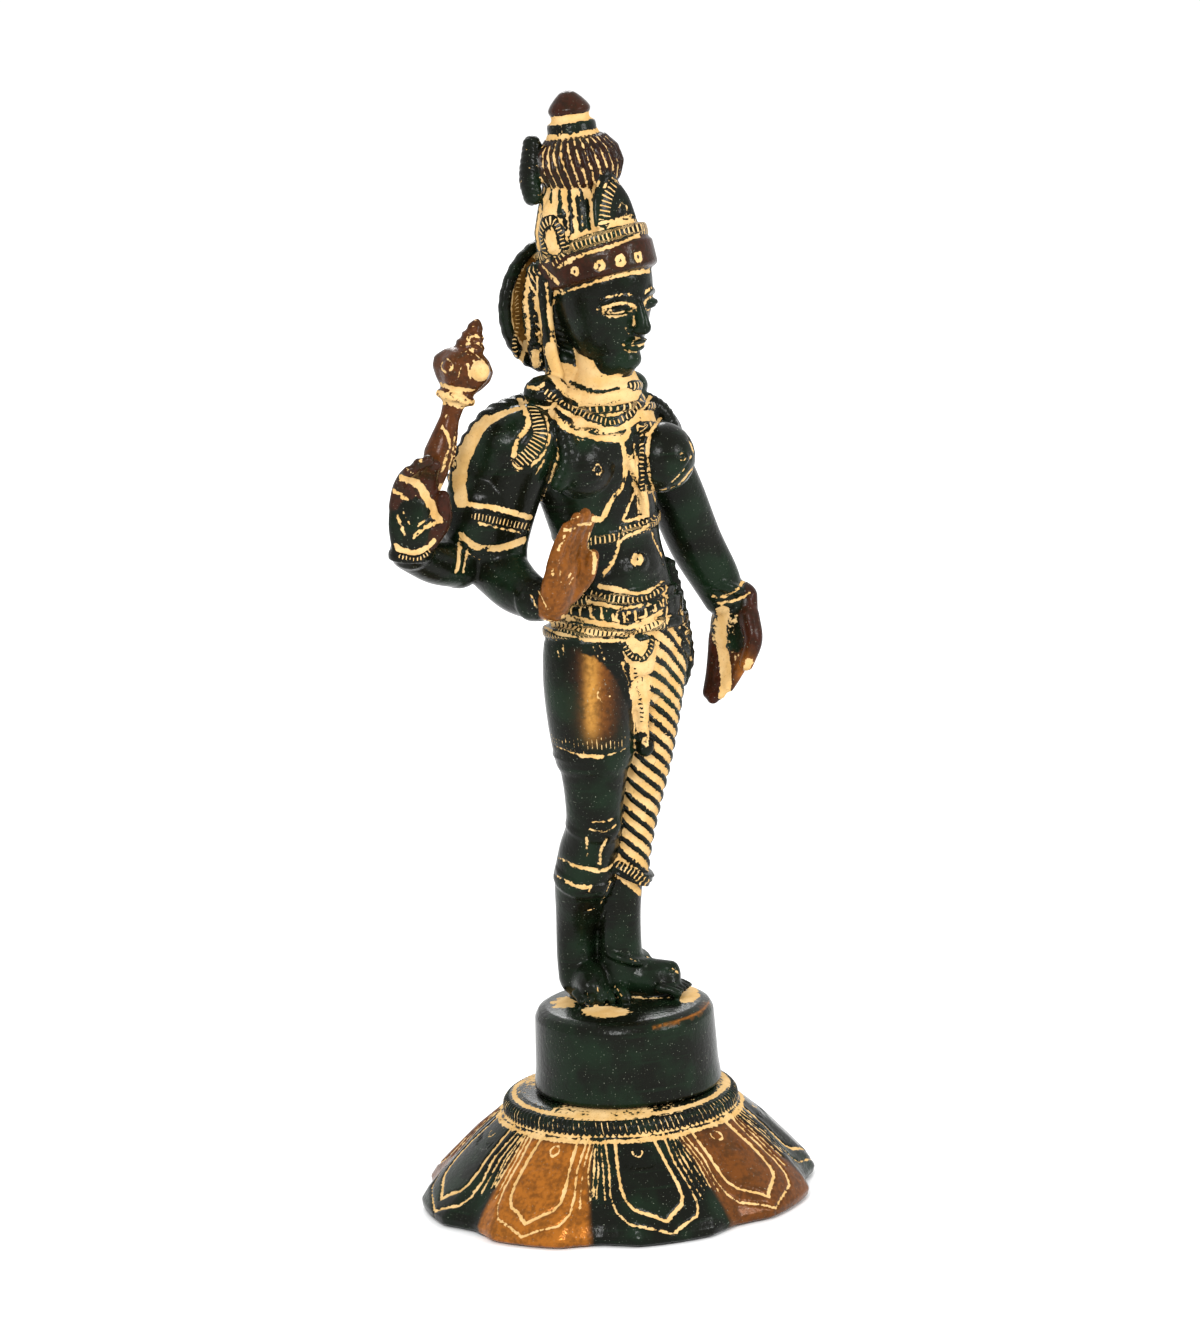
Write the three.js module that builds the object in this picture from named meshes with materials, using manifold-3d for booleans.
// Standing cast-brass figure on a plain drum, over a separate lotus base.
// Millimetres, +Z up, the figure faces -Y and its right side is -X.
import * as THREE from "three";
import { mergeVertices } from "three/addons/utils/BufferGeometryUtils.js";
import { SimplifyModifier } from "three/addons/modifiers/SimplifyModifier.js";
import Module from "manifold-3d";

const wasm = await Module();
wasm.setup();

// Driving dimensions
const HEIGHT = 280;
const SEAM = 28.2;
const GAP = 0.3;
const DRUM_TOP = 50.6;
const DRUM_RADIUS = 22.7;
const SOLE = 50.2;
const BASE_RADIUS = 48.5;
const COLLAR_RADIUS = 29.2;
const PETALS = 8;
const FIRST_PETAL = THREE.MathUtils.degToRad(-116);
const FIGURE_OFFSET = new THREE.Vector3(3, -2.7, 0);
const COLLAR_OFFSET = new THREE.Vector3(1.4, -1.2, 0);
const PLEATS = 17;
const CROWN_RIBS = 14;
const SCALLOPS = 16;
const FINGERS = [10.5, 12, 11.2, 9];
const LEFT_FINGERS = [8.4, 10.2, 11.4, 10.6];
const TOES = [2, 1.35, 1.3, 1.25, 1.2];
const FIGURE_FACETS = 8100;
const BASE_FACETS = 1500;
const PLUG = 0.5;

const X = new THREE.Vector3(1, 0, 0);
const Y = new THREE.Vector3(0, 1, 0);
const vector = ([x, y, z]) => new THREE.Vector3(x, y, z);
const mix = THREE.MathUtils.lerp;

// General shapes

function solid(geometry) {
  geometry.deleteAttribute("normal");
  geometry.deleteAttribute("uv");
  const merged = mergeVertices(geometry, 1e-3);
  const corners = [];
  for (let i = 0; i < merged.index.count; i += 3) {
    const [a, b, c] = [0, 1, 2].map((k) => merged.index.getX(i + k));
    if (a !== b && b !== c && a !== c) corners.push(a, b, c);
  }
  const mesh = new wasm.Mesh({
    numProp: 3,
    vertProperties: new Float32Array(merged.getAttribute("position").array),
    triVerts: new Uint32Array(corners),
  });
  return new wasm.Manifold(mesh);
}

function remap(geometry, move) {
  const position = geometry.getAttribute("position");
  const v = new THREE.Vector3();
  for (let i = 0; i < position.count; i++) {
    v.fromBufferAttribute(position, i);
    const p = move(v);
    position.setXYZ(i, p.x, p.y, p.z);
  }
  return geometry;
}

// A rounded limb through stations [x, y, z, half-width, half-depth]. "side" is the half-width's direction.
function limb(stations, options = {}) {
  const { sides = 10, rows = 1, cap = 1, side = X, swell = () => 1, slant = 0 } = options;
  const path = new THREE.CatmullRomCurve3(stations.map(vector));
  const girth = new THREE.CatmullRomCurve3(stations.map(([, , , a, b = a]) => new THREE.Vector3(a, b, 0)));
  const count = rows * (stations.length - 1);
  const shape = new THREE.CapsuleGeometry(1, 1, cap, sides, count);
  return remap(shape, (v) => {
    const angle = Math.atan2(v.z, v.x);
    const inside = THREE.MathUtils.clamp(v.y + 0.5, 0, 1);
    const beyond = v.y + 0.5 - inside;
    const middle = Math.min(1, 6 * inside, 6 - 6 * inside);
    const t = THREE.MathUtils.clamp(inside + slant * middle * Math.cos(angle), 0, 1);
    const tangent = path.getTangent(t);
    const across = side.clone().addScaledVector(tangent, -side.dot(tangent)).normalize();
    const over = new THREE.Vector3().crossVectors(across, tangent);
    const g = girth.getPoint(t).multiplyScalar(swell(inside, angle));
    return path
      .getPoint(t)
      .addScaledVector(across, v.x * g.x)
      .addScaledVector(over, v.z * g.y)
      .addScaledVector(tangent, beyond * Math.min(g.x, g.y));
  });
}

// A shape turned about Z from a profile of [radius, height], bottom first.
function turned(profile, segments, swell = () => 1) {
  const points = profile.map(([r, z]) => new THREE.Vector2(r, z));
  const shape = new THREE.LatheGeometry(points, segments).rotateX(Math.PI / 2);
  return remap(shape, (v) => {
    const k = swell(Math.atan2(v.y, v.x), v.z);
    return new THREE.Vector3(v.x * k, v.y * k, v.z);
  });
}

// A flat band round a limb, tipped about X by "pitch" and about Y by "roll", in degrees.
function band([x, y, z], a, b, height, pitch = 0, roll = 0, sides = 14) {
  const ring = new THREE.CylinderGeometry(1, 1, height, sides, 1);
  ring.rotateX(Math.PI / 2).scale(a, b, 1);
  ring.rotateX(THREE.MathUtils.degToRad(pitch)).rotateY(THREE.MathUtils.degToRad(roll));
  return ring.translate(x, y, z);
}

function ball([x, y, z], a, b, c, sides = 8) {
  return new THREE.SphereGeometry(1, sides, Math.ceil(sides * 0.5)).scale(a, b, c).translate(x, y, z);
}

// Puts shapes drawn in hand axes (+Z fingers, -Y palm side), enlarged, at a place on the figure.
function placed(shapes, origin, fingers, palm, size) {
  const up = vector(fingers).normalize();
  const back = vector(palm).negate();
  back.addScaledVector(up, -back.dot(up)).normalize();
  const across = new THREE.Vector3().crossVectors(back, up);
  const matrix = new THREE.Matrix4().makeBasis(across, back, up).setPosition(vector(origin));
  return shapes.map((shape) => shape.scale(size, size, size).applyMatrix4(matrix));
}

// Sub-parts

function finger(x, z, length, curl, r, gather) {
  const joints = [[x, 0, z - 1, r]];
  const bones = curl > 20 ? 2 : 1;
  let [y, height, angle] = [0, z, 0];
  for (let i = 0; i < bones; i++) {
    angle += THREE.MathUtils.degToRad(curl);
    y -= (Math.sin(angle) * length) / bones;
    height += (Math.cos(angle) * length) / bones;
    joints.push([x * (1 - (gather * (i + 1)) / bones), y, height, r * 0.94]);
  }
  return limb(joints, { sides: 5 });
}

// A hand with its thumb on the +X side (or -X when thumb is -1).
function hand(curl, thumb, palm = 9.5, lengths = FINGERS, gather = 0.3) {
  const shapes = [limb([[0, 0.3, -1, 4.1, 2.8], [0, 0, palm * 0.5, 5.3, 2.8], [0, 0, palm, 5.2, 2.2]], { sides: 8 })];
  lengths.forEach((length, i) => {
    const x = thumb * mix(3.9, -3.9, i / 3);
    shapes.push(finger(x, palm + 0.5, length, curl, 1.45, gather));
  });
  const root = [thumb * 3.4, -0.6, 2.5, 2.2];
  const knuckle = [thumb * 6, -1.8, 7, 1.9];
  shapes.push(limb([root, knuckle, [thumb * 5.6, -2.6, 12, 1.5]], { sides: 5 }));
  return shapes;
}

// A foot from heel to ball, with toes spread between the big and the little toe's tip.
function foot(heel, arch, front, bigToe, littleToe) {
  const shapes = [limb([heel, arch, front], { sides: 8 })];
  const spread = TOES.reduce((sum, r) => sum + 2 * r, -TOES[0] - TOES.at(-1));
  const scale = Math.hypot(bigToe[0] - littleToe[0], bigToe[1] - littleToe[1]) / spread;
  let aside = -TOES[0];
  for (const toe of TOES) {
    aside += toe;
    const tip = [0, 1].map((k) => mix(bigToe[k], littleToe[k], aside / spread));
    const root = tip.map((v, k) => v + (arch[k] - (bigToe[k] + littleToe[k]) / 2) * 0.36);
    const r = 0.93 * toe * scale;
    shapes.push(limb([[...root, SOLE + 2.6, r], [...tip, SOLE + 1.4, r]], { sides: 5 }));
    aside += toe;
  }
  return shapes;
}

function drum() {
  const [r, top] = [DRUM_RADIUS, DRUM_TOP];
  const side = [[0, SEAM], [r + 0.2, SEAM], [r + 0.8, SEAM + 1], [r, 40], [r - 0.3, 47]];
  const shoulder = [[r - 1.2, 48.7], [r - 3, 49.6], [0, top]];
  return turned([...side, ...shoulder], 26);
}

function rightLeg() {
  const shorts = [[-8, -2, 141, 10.5], [-8, -2.2, 133, 10.9], [-7.6, -2.4, 123, 10.7], [-7.2, -2.2, 116.2, 10]];
  const knee = [[-7.2, -2.2, 114, 8.9], [-7.3, -1.7, 105, 7.5], [-6.8, -0.1, 96, 6.9], [-6.2, 3.4, 88.5, 7.3]];
  const shin = [[-5.8, 6, 80.5, 7.3], [-5.3, 9.8, 70, 5.3], [-5, 11, 61, 5], [-5, 10.2, 55.6, 5.4]];
  return [
    limb(shorts, { sides: 12 }),
    limb([...knee, ...shin]),
    band([-7.2, -2.1, 115.6], 10.2, 10.2, 1.3, 2, 0, 12),
    band([-5.9, 5, 82.6], 7.9, 7.9, 5, 24, -4, 10),
    band([-6.8, -0.3, 96.4], 7.2, 7.2, 2.6, 20, 0, 10),
    ...foot([-3, 12, 54, 4.4, 4.2], [-5.6, 5.6, 55, 5.2, 5], [-8, 1.6, 53, 5.6, 3.2],
      [-3.9, -5.2], [-12.9, 1.6]),
  ];
}

function leftLeg() {
  const thigh = [[12, -5, 141, 9.4], [9.8, -4.8, 127, 8.4], [7.8, -4.2, 113, 7.1]];
  const below = [[5.6, -3, 101, 6], [4.2, -1.3, 91, 5.5], [3.5, 0, 83, 5.4]];
  const shin = [[3, 0.3, 84, 5], [2, 1.5, 73, 5.2], [1.8, 1.9, 64, 5.3], [1.6, 2, 56, 5.7]];
  const pleats = (t) => 1 + 0.05 * Math.cos(2 * Math.PI * PLEATS * t);
  return [
    limb([...thigh, ...below], { sides: 9, rows: 7, swell: pleats, slant: -0.1 }),
    limb(shin, { sides: 10 }),
    band([3.6, 0, 83.4], 7.2, 7, 3.2, 20, 24, 12),
    band([2.4, 0.6, 61.4], 6.5, 6.2, 1.8, 18, 12, 10),
    ...foot([1.2, 4, 54, 4.4, 4.2], [4.6, -2, 55, 4.9, 4.8], [9.2, -6.6, 53.2, 5.8, 3.2],
      [6.8, -12.6], [14.6, -8.8]),
  ];
}

function torso() {
  const hips = [[2, -2.5, 134, 18, 12.5], [2.2, -2.5, 143, 20, 13.6], [2.3, -2.7, 150, 18.2, 12.6]];
  const belly = [[2.3, -3, 157, 15.8, 11], [1.6, -2.6, 166, 14.6, 9.8], [0.4, -1.8, 178, 16.8, 10.3]];
  const chest = [[-0.2, -1.2, 188, 19.2, 11.4], [0, -0.8, 196, 18, 10], [1.2, -2.2, 202, 11, 8]];
  return [
    limb([...hips, ...belly, ...chest], { sides: 16 }),
    ball([2, -8.4, 160], 10.6, 5.6, 7.4),
    ball([11, -13, 188], 8.5, 8.5, 8.8, 10),
    ball([-9.6, -7.4, 189], 9.5, 6.4, 8.4),
  ];
}

function belts() {
  return [
    band([2.4, -3.1, 154.4], 17.4, 12.2, 1.8, -5, 4, 18),
    band([2.3, -2.9, 150.6], 19, 13.4, 4.4, -5, 4, 18),
    band([2.2, -2.7, 146.4], 20.8, 14.6, 2.4, -5, 4, 18),
    limb([[6.5, -15, 143.5, 5.4, 1.8], [7, -15.4, 137, 3.4, 1.6]], { sides: 8, cap: 2 }),
    limb([[6, -13, 139, 1.7, 1.5], [5, -12.2, 126, 1.6, 1.5], [4.4, -11, 119, 1.8, 1.6]], { sides: 6 }),
    ball([4.2, -10.4, 116], 2.6, 2.4, 2.8, 6),
    limb([[20.6, -2, 158, 2, 2.8], [22.4, -3, 146, 2.2, 3.4], [23, -3.6, 135, 2.4, 3.6], [21.6, -4, 128.6, 1.8, 2.6]],
      { sides: 8 }),
  ];
}

function collar() {
  const [low, middle, high] = [[0.6, -3.2, 194.4, 16.6, 11.8], [1.2, -3.6, 200, 13.4, 11], [1.8, -3.6, 205.4, 9, 9]];
  const yoke = [[-19, 1, 197.4, 6, 6.4], [-8, -0.6, 201.6, 6, 6.4], [2, -1.4, 202, 6, 6.6], [12, -0.6, 198, 6, 6],
    [18.6, 0, 191.6, 6, 6]];
  const thread = [[-1, -13.4, 192, 1.1, 1], [4, -13.4, 180, 1.1, 1], [5, -12.6, 172, 1.1, 1]];
  return [
    limb(yoke, { side: Y }),
    band(low, 17.2, 12.6, 2.2, -14, 7, 20),
    limb([low, middle, high], { sides: 16 }),
    band(middle, 14.2, 11.6, 1.8, -14, 7, 20),
    band(high, 9.8, 9.6, 1.8, -12, 5, 16),
    limb([[1.8, -2.6, 198, 8.4, 8], [1.9, -3.4, 206, 7, 7], [2, -3.6, 214, 6.8, 7]], { sides: 12 }),
    limb(thread, { sides: 6 }),
    band([1.2, -2.2, 171.6], 15.8, 10.6, 2.2, 4, -4, 16),
  ];
}

function rightArms() {
  const upper = [[-21, 1, 196, 9.2], [-24.6, 3.2, 186, 8.4], [-27.4, 5.6, 173, 7.6], [-28.4, 5.4, 166, 7.4]];
  const lower = [[-28.4, 5.4, 165.4, 7.2], [-30, -3, 161.6, 6.3], [-31, -12, 159.6, 5]];
  const rearUpper = [[-24, 4.4, 195, 9.4], [-28.2, 9.6, 184, 8.2], [-33, 10.6, 172, 6.8], [-37, 10, 167, 5.8]];
  const rearLower = [[-37, 10, 167, 5.6], [-45.6, 9, 169.4, 5.2], [-54.4, 7.8, 174, 4.8]];
  return [
    limb(upper, { sides: 10 }),
    limb(lower, { sides: 9 }),
    limb(rearUpper, { sides: 9 }),
    limb(rearLower, { sides: 8 }),
    limb([[-27.6, 7.6, 180.4, 12, 10.4], [-29, 8, 175.4, 11.8, 9.8]], { sides: 12 }),
    band([-30.8, -10.4, 159.8], 5.8, 5.4, 2.6, 84, 0, 9),
    band([-55.4, 6, 173.6], 6, 5, 2.4, 4, 4, 9),
    ...placed(hand(4, 1), [-29.6, -16.4, 158.8], [0.13, -0.26, 1], [0.1, -1, -0.15], 1.12),
    ...placed(hand(17, 1, 10.5), [-55.6, 5.2, 174.2], [0.06, -0.04, 1], [-0.4, -1, 0], 1.16),
  ];
}

function leftArm() {
  const upper = [[19.6, 0, 190.4, 8.2], [23.4, 0.9, 183, 7.6], [28.2, 0.7, 173, 7.2], [33.4, 0.5, 161, 6.8]];
  const lower = [[37.8, -1, 151.6, 6.2], [39.4, -2.2, 146.4, 5.4]];
  return [
    limb([...upper, ...lower]),
    band([38.8, -1.8, 148.6], 7.2, 6.8, 2.6, 0, 24, 10),
    ...placed(hand(8, -1, 9, LEFT_FINGERS, 0.5), [41.9, -4.8, 145.4], [-0.15, 0.12, -1], [-1, -0.24, 0], 1.25),
  ];
}

function shoulders() {
  const lock = [[-12, -4, 204.4, 2.6, 2], [-15.6, -7.6, 200, 2.7, 2], [-16.6, -9.8, 192, 2.6, 2],
    [-19.4, -8.6, 186, 2.2, 1.8]];
  const fringe = [[-16, 6, 204.6, 2.2, 3], [-27, 7, 202, 2.4, 3], [-34.4, 9.6, 192, 2.4, 3], [-36, 10.6, 181, 2, 2.6]];
  const leftLock = [[13, -2, 202, 2.4, 2], [19.4, -5, 197, 2.4, 2], [22, -6.6, 190, 2, 1.8]];
  return [
    limb(lock, { sides: 7, rows: 2 }),
    limb(leftLock, { sides: 6, rows: 1 }),
    limb(fringe, { sides: 7, rows: 2 }),
    ball([-14.4, -0.4, 207.6], 6, 5, 4),
    ball([15, 2, 203.6], 5, 5, 4),
  ];
}

function head() {
  const ear = (s) => [
    limb([[s * 12.4 + 2, 1.9, 234, 1.4, 2.8], [s * 12.6 + 2, 2.5, 226, 1.4, 2.4], [s * 12 + 2, 1.9, 217, 1.4, 2.2],
      [s * 11.6 + 2, 1.2, 210.6, 2.2, 2.6]], { sides: 8, rows: 2 }),
    limb([[s * 12 + 2, 5.6, 236, 2, 2.6], [s * 13 + 2, 7.2, 226, 2, 2.2], [s * 11 + 2, 7.4, 213, 2, 2.2]],
      { sides: 6, rows: 2 }),
  ];
  return [
    limb([[2, -8.2, 214.6, 6, 6.8], [2, -7, 218.4, 8.8, 9.6], [2, -5.4, 224.4, 10.8, 12.6],
      [2, -4.4, 232, 11.8, 14], [2, -3.8, 238, 11.4, 13.4]], { sides: 14, cap: 2 }),
    ball([2, -12.4, 213.8], 4.2, 3, 2.8),
    ball([2, 3.4, 226], 11.6, 7, 13, 10),
    ball([2, 3.4, 209], 12.2, 5.6, 9, 10),
    limb([[2, -17.4, 231, 1.4, 1.4], [2, -18.6, 225.6, 1.6, 2], [2, -18.8, 222.4, 2.2, 2.2]], { sides: 6 }),
    ball([2, -15.7, 218.5], 3.6, 2.2, 1.1),
    ball([2, -15.2, 216.6], 2.9, 2.2, 1.1),
    ...[-1, 1].map((s) => ball([s * 5 + 2, -15.4, 227.6], 3.2, 2.6, 1.6)),
    ...ear(-1),
    ...ear(1),
  ];
}

// The disc behind the head, with a scalloped rim.
function halo() {
  const scallops = (angle) => 1 + 0.02 * Math.cos(SCALLOPS * angle);
  const plate = turned([[0, -1.4], [18, -1.4], [18.2, 0.9], [16.6, 1.5], [0, 1.5]], SCALLOPS * 2, scallops);
  return plate.scale(1, 0.94, 1).rotateX(Math.PI / 2).translate(2, 12.4, 225.6);
}

function crown() {
  const lean = (shape) => shape.rotateX(THREE.MathUtils.degToRad(-7)).translate(1, -1.2, 246);
  const ribs = (angle) => 1 + 0.035 * Math.cos(CROWN_RIBS * angle);
  const core = [[0, -10], [12.4, -10], [12.6, 0], [10.6, 6], [8, 12], [6.4, 19], [6.5, 23], [6, 23.6],
    [6, 25.7], [4.7, 26.2], [4.6, 28.2], [5.2, 28.6], [5.2, 29.6], [3.4, 31.8], [0, HEIGHT - 246.2]];
  const bun = turned([[0, 8], [6, 8.4], [9.4, 11], [10.7, 15], [9.9, 19.2], [7.4, 22], [0, 22.6]], CROWN_RIBS * 2, ribs);
  const crest = limb([[-1.2, -12.4, 1, 7, 1.6], [-1.2, -11.8, 7, 5.6, 1.6], [-1, -11, 13, 1.6, 1.2]], { sides: 8 });
  const leaf = (s) => limb([[s * 8, 5.6, 20.6, 2.4, 2], [s * 10.6, 5.4, 14, 3, 2.2], [s * 10.8, 4.8, 9.6, 2.4, 2]],
    { sides: 8, side: Y });
  const scroll = (s) => limb([[s * 12, -0.6, -3.4, 4.2, 1.6], [s * 11.4, 0, 3, 3.2, 1.5], [s * 10, 0.6, 7, 1, 1]],
    { sides: 8, side: Y });
  return [
    lean(turned(core, 12)),
    lean(bun.scale(0.94, 1.08, 1).translate(-0.4, -1.2, 0)),
    lean(crest),
    ...[-1, 1].flatMap((s) => [lean(leaf(s)), lean(scroll(s))]),
    band([2, -3.4, 236.6], 13.6, 16, 7.4, -16, 0, 18),
    band([1.8, -2.2, 241.6], 13.4, 15.2, 3, -19, 0, 18),
  ];
}

// The ornate finial held in the rear right hand, turned and then leant inwards.
function attribute() {
  const leaf = [[0, -9], [2, -8], [2.2, -2], [3, 3], [3.9, 9], [3, 14.5], [2.4, 18], [2.7, 21.6]];
  const ring = [[4.9, 22.4], [4.9, 23.8], [3.8, 24.4], [5.4, 26.4]];
  const bulb = [[7, 29], [7.2, 31.4], [5.6, 33.8], [3.4, 35.2], [3.7, 36.6], [2.6, 37.6], [2.9, 38.8]];
  const profile = [...leaf, ...ring, ...bulb, [1.9, 39.8], [2, 41], [0.9, 42.6], [0, 43.2]];
  const scrolls = (angle, z) => (z > 25 && z < 34 ? 1 + 0.09 * Math.cos(5 * angle) : 1);
  const lean = new THREE.Quaternion().setFromUnitVectors(new THREE.Vector3(0, 0, 1), vector([15.5, -4.4, 41]).normalize());
  const move = new THREE.Matrix4().makeRotationFromQuaternion(lean).setPosition(-50, 4, 188.9);
  const knob = ball([-6.6, -1, 31], 2.4, 2.4, 2.4, 8);
  return [turned(profile, 10, scrolls), knob].map((shape) => shape.applyMatrix4(move));
}

// How far a point of the lotus skirt stands out: eight panels with pointed lower ends.
function petalRelief(angle, z) {
  const turn = (angle - FIRST_PETAL) / ((2 * Math.PI) / PETALS);
  const aside = Math.abs(turn - Math.round(turn)) * 2;
  const down = THREE.MathUtils.clamp(1 - z / 21, 0, 1);
  const edge = 0.8 - 0.16 * down;
  const panel = THREE.MathUtils.smoothstep(edge - aside, -0.12, 0.2);
  return panel * mix(0.5, 1.9, down) - 1.1 * down * THREE.MathUtils.smoothstep(aside, 0.7, 1);
}

function skirt() {
  const r = BASE_RADIUS;
  const cone = [[0, 0], [r - 2.2, 0], [r - 0.4, 1], [r, 2.6], [r - 1.6, 5.4], [r - 5, 9.4], [r - 11.4, 16.4]];
  const profile = [...cone, [r - 17.2, 21.6], [r - 18.4, 22.6], [0, 23]];
  const shape = turned(profile, PETALS * 8, (angle, z) => {
    if (z > 22.5) return 1;
    return 1 + petalRelief(angle, z) / r;
  });
  return remap(shape, (v) => v.addScaledVector(COLLAR_OFFSET, v.z / 23));
}

function ropeCollar() {
  const r = COLLAR_RADIUS;
  const top = SEAM - GAP;
  const rope = [[0, 18], [r - 1, 20.4], [r + 0.3, 23], [r + 0.4, 24.2], [r + 0.2, 25.4], [r - 0.6, 26.4], [r - 1.8, 27]];
  return turned([...rope, [r - 4.4, top], [0, top]], 32).translate(COLLAR_OFFSET.x, COLLAR_OFFSET.y, 0);
}

// Joining and naming

function toGeometry(body) {
  const made = body.getMesh();
  const points = new Float32Array(made.numVert * 3);
  for (let i = 0; i < made.numVert; i++) {
    points.set(made.vertProperties.subarray(i * made.numProp, i * made.numProp + 3), i * 3);
  }
  const geometry = new THREE.BufferGeometry();
  geometry.setAttribute("position", new THREE.BufferAttribute(points, 3));
  geometry.setIndex(new THREE.BufferAttribute(made.triVerts, 1));
  return geometry;
}

// The middles of edges with more than two faces: places where simplifying shut a narrow crevice.
function pinches(geometry) {
  const position = geometry.getAttribute("position");
  const corner = (i) => new THREE.Vector3().fromBufferAttribute(position, geometry.index.getX(i));
  const key = (v) => v.toArray().map((value) => value.toFixed(3)).join(" ");
  const edges = new Map();
  for (let i = 0; i < geometry.index.count; i += 3) {
    const corners = [0, 1, 2].map((k) => corner(i + k));
    for (const [a, b] of corners.map((v, k) => [v, corners[(k + 1) % 3]])) {
      const name = [key(a), key(b)].sort().join("|");
      const edge = edges.get(name) ?? { faces: 0, middle: a.clone().lerp(b, 0.5) };
      edge.faces += 1;
      edges.set(name, edge);
    }
  }
  return [...edges.values()].filter((edge) => edge.faces > 2).map((edge) => edge.middle.toArray());
}

// Drops the slivers that joining leaves, down to about the wanted number of facets, and fills each pinch.
async function simplified(body, facets) {
  const whole = toGeometry(body);
  const spare = Math.max(0, Math.round((whole.index.count / 3 - facets) / 2));
  let tidied = await new SimplifyModifier().modify(whole, spare);
  for (let round = 0; round < 2; round++) {
    const found = pinches(tidied);
    if (found.length === 0) break;
    const plugs = found.map((middle) => solid(ball(middle, PLUG, PLUG, PLUG, 6)));
    tidied = toGeometry(plugs.reduce((made, plug) => made.add(plug), solid(tidied)));
  }
  return tidied;
}

async function cast(name, shapes, offset, color, facets) {
  const body = shapes.map(solid).reduce((whole, piece) => whole.add(piece));
  const geometry = await simplified(body, facets);
  geometry.translate(offset.x, offset.y, offset.z);
  geometry.computeVertexNormals();
  const material = new THREE.MeshStandardMaterial({ color, roughness: 0.4, metalness: 0.8 });
  const mesh = new THREE.Mesh(geometry, material);
  mesh.name = name;
  return mesh;
}

const figureShapes = [
  drum(),
  ...rightLeg(),
  ...leftLeg(),
  ...torso(),
  ...belts(),
  ...collar(),
  ...rightArms(),
  ...leftArm(),
  ...shoulders(),
  ...head(),
  halo(),
  ...crown(),
  ...attribute(),
];

const group = new THREE.Group();
group.add(await cast("figure", figureShapes, FIGURE_OFFSET, 0x1c2620, FIGURE_FACETS));
group.add(await cast("lotus_base", [skirt(), ropeCollar()], new THREE.Vector3(), 0x3a2c1c, BASE_FACETS));

export default group;
